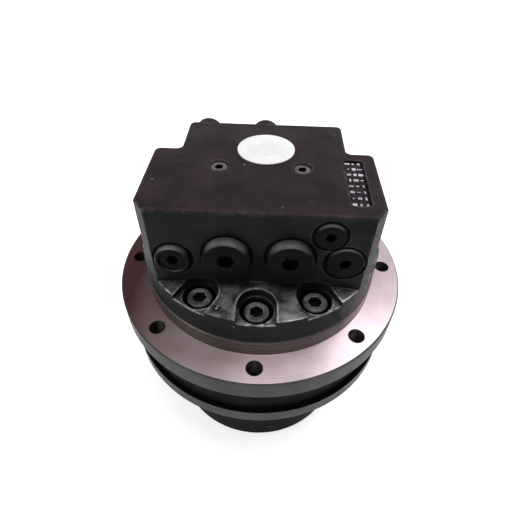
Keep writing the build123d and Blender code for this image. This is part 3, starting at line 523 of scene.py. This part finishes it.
# one turned steel in lit and shaded copies: the flange's upper face is painted pale, as light it catches, and
# its rim, chamfer and pilot duller, as painted shade
flangeSet = {"under": -1.0 * mm, "over": 1.0 * mm, "upright": 0.9, "rim": 103.5 * mm}
spindleBody = smoothCopy("spindle", "spindleBody")
spindleBody.data.materials.append(flangeSteel)
spindleBody.data.materials.append(rimSteel)
for face in spindleBody.data.polygons:
    onTop = flangeSet["under"] < face.center.z < flangeSet["over"]
    if onTop and face.normal.z > flangeSet["upright"]:
        face.material_index = 1
    elif face.center.xy.length > flangeSet["rim"]:
        face.material_index = 2
settle(spindleBody, "spindle")

# the sprocket flange is bare on its rim and under it, and painted on top
hubSet = {"bandInside": 98.6 * mm, "bandUnder": -60.0 * mm, "bandOver": -40.0 * mm, "upright": 0.5}
hubBody = smoothCopy("hub", "hubBody")
hubBody.data.materials.append(bandSteel)
for face in hubBody.data.polygons:
    inBand = hubSet["bandUnder"] < face.center.z < hubSet["bandOver"]
    onRim = face.center.xy.length > hubSet["bandInside"] and abs(face.normal.z) < hubSet["upright"]
    if inBand and (onRim or face.normal.z < -hubSet["upright"]):
        face.material_index = 1
settle(hubBody, "hub")
print("smooth pieces made")


# raised marks on the recess floor, as a grid of cast bars

markSet = {
    "down": 1.5 * mm,
    "near": 0.05 * mm,
    "margin": 2.2 * mm,
    "columns": 3,
    "rows": 8,
    "bar": (2.8 * mm, 3.0 * mm, 0.8 * mm),
    "lift": 0.3,
    "smallest": (0.35, 0.25, 0.6),
    "largest": (1.2, 0.95, 1.0),
    "seed": 4,
}
blockPoints = [v.co for v in frame["nodes"]["valve_block"].data.vertices]
blockTop = max(p.z for p in blockPoints)
floorPoints = [p for p in blockPoints if abs(p.z - blockTop + markSet["down"]) < markSet["near"]]
lowX, highX = min(p.x for p in floorPoints), max(p.x for p in floorPoints)
lowY, highY = min(p.y for p in floorPoints), max(p.y for p in floorPoints)

markTree = bpy.data.node_groups.new("castMarks", "GeometryNodeTree")
markTree.interface.new_socket("Geometry", in_out="OUTPUT", socket_type="NodeSocketGeometry")
grid = addNode(markTree, "GeometryNodeMeshGrid", {
    "Size X": highX - lowX - 2 * markSet["margin"],
    "Size Y": highY - lowY - 2 * markSet["margin"],
    "Vertices X": markSet["columns"],
    "Vertices Y": markSet["rows"],
})
bar = addNode(markTree, "GeometryNodeMeshCube", {"Size": markSet["bar"]})
sizes = addNode(markTree, "FunctionNodeRandomValue", data_type="FLOAT_VECTOR")
sizes.inputs[0].default_value = markSet["smallest"]
sizes.inputs[1].default_value = markSet["largest"]
sizes.inputs["Seed"].default_value = markSet["seed"]
place = addNode(markTree, "GeometryNodeInstanceOnPoints")
markTree.links.new(grid.outputs["Mesh"], place.inputs["Points"])
markTree.links.new(bar.outputs["Mesh"], place.inputs["Instance"])
markTree.links.new(sizes.outputs[0], place.inputs["Scale"])
real = addNode(markTree, "GeometryNodeRealizeInstances")
markTree.links.new(place.outputs["Instances"], real.inputs[0])
barZ = blockTop - markSet["down"] + markSet["bar"][2] * markSet["lift"]
shift = addNode(markTree, "GeometryNodeTransform")
shift.inputs["Translation"].default_value = Vector(((lowX + highX) / 2, (lowY + highY) / 2, barZ))
markTree.links.new(real.outputs[0], shift.inputs["Geometry"])
coat = addNode(markTree, "GeometryNodeSetMaterial", {"Material": markPaint})
markTree.links.new(shift.outputs[0], coat.inputs["Geometry"])
markTree.links.new(coat.outputs[0], addNode(markTree, "NodeGroupOutput").inputs[0])

castMarks = bpy.data.objects.new("castMarks", bpy.data.meshes.new("castMarks"))
bpy.context.scene.collection.objects.link(castMarks)
castMarks.modifiers.new("marks", "NODES").node_group = markTree
depsgraph = bpy.context.evaluated_depsgraph_get()
castMarks.data = bpy.data.meshes.new_from_object(castMarks.evaluated_get(depsgraph), depsgraph=depsgraph)
castMarks.modifiers.clear()
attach(castMarks, nodeBody["valve_block"])
print("marks made")


# camera and light

cameraSet = {
    "place": (0.0055, -0.22715, 0.22532),
    "aim": (-0.00049, 0.0, 0.00156),
    "roll": 0.0234,
    "lens": 28.46,
    "sensor": 36.0,
    "near": 0.01,
}
camera = bpy.data.objects.new("camera", bpy.data.cameras.new("camera"))
bpy.context.scene.collection.objects.link(camera)
sight = Vector(cameraSet["aim"]) - Vector(cameraSet["place"])
facing = sight.to_track_quat("-Z", "Y").to_matrix().to_4x4()
roll = Matrix.Rotation(cameraSet["roll"], 4, "Z")
camera.matrix_world = Matrix.Translation(cameraSet["place"]) @ facing @ roll
camera.data.lens = cameraSet["lens"]
camera.data.sensor_width = cameraSet["sensor"]
camera.data.clip_start = cameraSet["near"]
bpy.context.scene.camera = camera

lampSet = {
    "key": {"place": (0.53, 0.35, 1.03), "size": 0.50, "watts": 7.6, "tint": (0.95, 0.96, 1.0)},
    "side": {"place": (0.46, 0.12, 0.36), "size": 0.3, "watts": 0.8, "tint": (0.95, 0.95, 1.0)},
    "overhead": {"place": (0.05, -0.22, 1.00), "size": 0.4, "watts": 2.5, "tint": (1.0, 0.98, 0.97)},
    "fill": {"place": (-0.36, -0.24, 0.24), "size": 0.3, "watts": 0.8, "tint": (1.0, 0.96, 0.93)},
}
for lampName, lamp in lampSet.items():
    light = bpy.data.lights.new(lampName, "AREA")
    light.shape = "DISK"
    light.size = lamp["size"]
    light.energy = lamp["watts"]
    light.color = lamp["tint"]
    stand = bpy.data.objects.new(lampName, light)
    bpy.context.scene.collection.objects.link(stand)
    stand.location = lamp["place"]
    stand.rotation_euler = (-Vector(lamp["place"])).to_track_quat("-Z", "Y").to_euler()

# the room is white to the eye and in reflections, and dimmer as light
white = (1.0, 1.0, 1.0, 1.0)
worldSet = {"ambient": 0.25, "seen": 1.0}
world = bpy.data.worlds.new("studio")
bpy.context.scene.world = world
world.use_nodes = True
worldTree = world.node_tree
back = worldTree.nodes["Background"]
back.inputs["Color"].default_value = white
rays = addNode(worldTree, "ShaderNodeLightPath").outputs
mirrored = maths(worldTree, "MAXIMUM", rays["Is Glossy Ray"], rays["Is Transmission Ray"])
inSight = maths(worldTree, "MAXIMUM", rays["Is Camera Ray"], mirrored)
roomGlow = spread(worldTree, inSight, 0.0, 1.0, worldSet["ambient"], worldSet["seen"])
worldTree.links.new(roomGlow, back.inputs["Strength"])

# the floor glows white to the camera and in reflections: near the part the glow is lower, so the paper is
# grey enough for its shadow, and far off it meets the white of the room
floorSet = {"size": 6.0, "tone": (0.88, 0.88, 0.88), "rough": 0.9, "lift": 0.60, "near": 0.25, "far": 0.80}
half = floorSet["size"] / 2
floorZ = cadBox[0].z
floorCorners = [(x * half, y * half, floorZ) for x, y in ((-1, -1), (1, -1), (1, 1), (-1, 1))]
floorMesh = bpy.data.meshes.new("floor")
floorMesh.from_pydata(floorCorners, [], [(0, 1, 2, 3)])
floor = bpy.data.objects.new("floor", floorMesh)
bpy.context.scene.collection.objects.link(floor)
floorMaterial, floorTree, floorShader = newMaterial("floorPaper")
floorShader.inputs["Base Color"].default_value = (*floorSet["tone"], 1.0)
floorShader.inputs["Roughness"].default_value = floorSet["rough"]
floorShader.inputs["Emission Color"].default_value = white
floorRays = addNode(floorTree, "ShaderNodeLightPath").outputs
floorInSight = maths(floorTree, "MAXIMUM", floorRays["Is Camera Ray"], floorRays["Is Glossy Ray"])
floorAway = addNode(floorTree, "ShaderNodeVectorMath", operation="LENGTH")
floorTree.links.new(objectCoords(floorTree), floorAway.inputs[0])
floorGlow = spread(floorTree, floorAway.outputs["Value"], floorSet["near"], floorSet["far"],
                   floorSet["lift"], worldSet["seen"])
floorLight = maths(floorTree, "MULTIPLY", floorInSight, floorGlow)
floorTree.links.new(floorLight, floorShader.inputs["Emission Strength"])
floorMesh.materials.append(floorMaterial)
print("camera, lamps and floor set")

bpy.context.scene.view_settings.view_transform = "Standard"
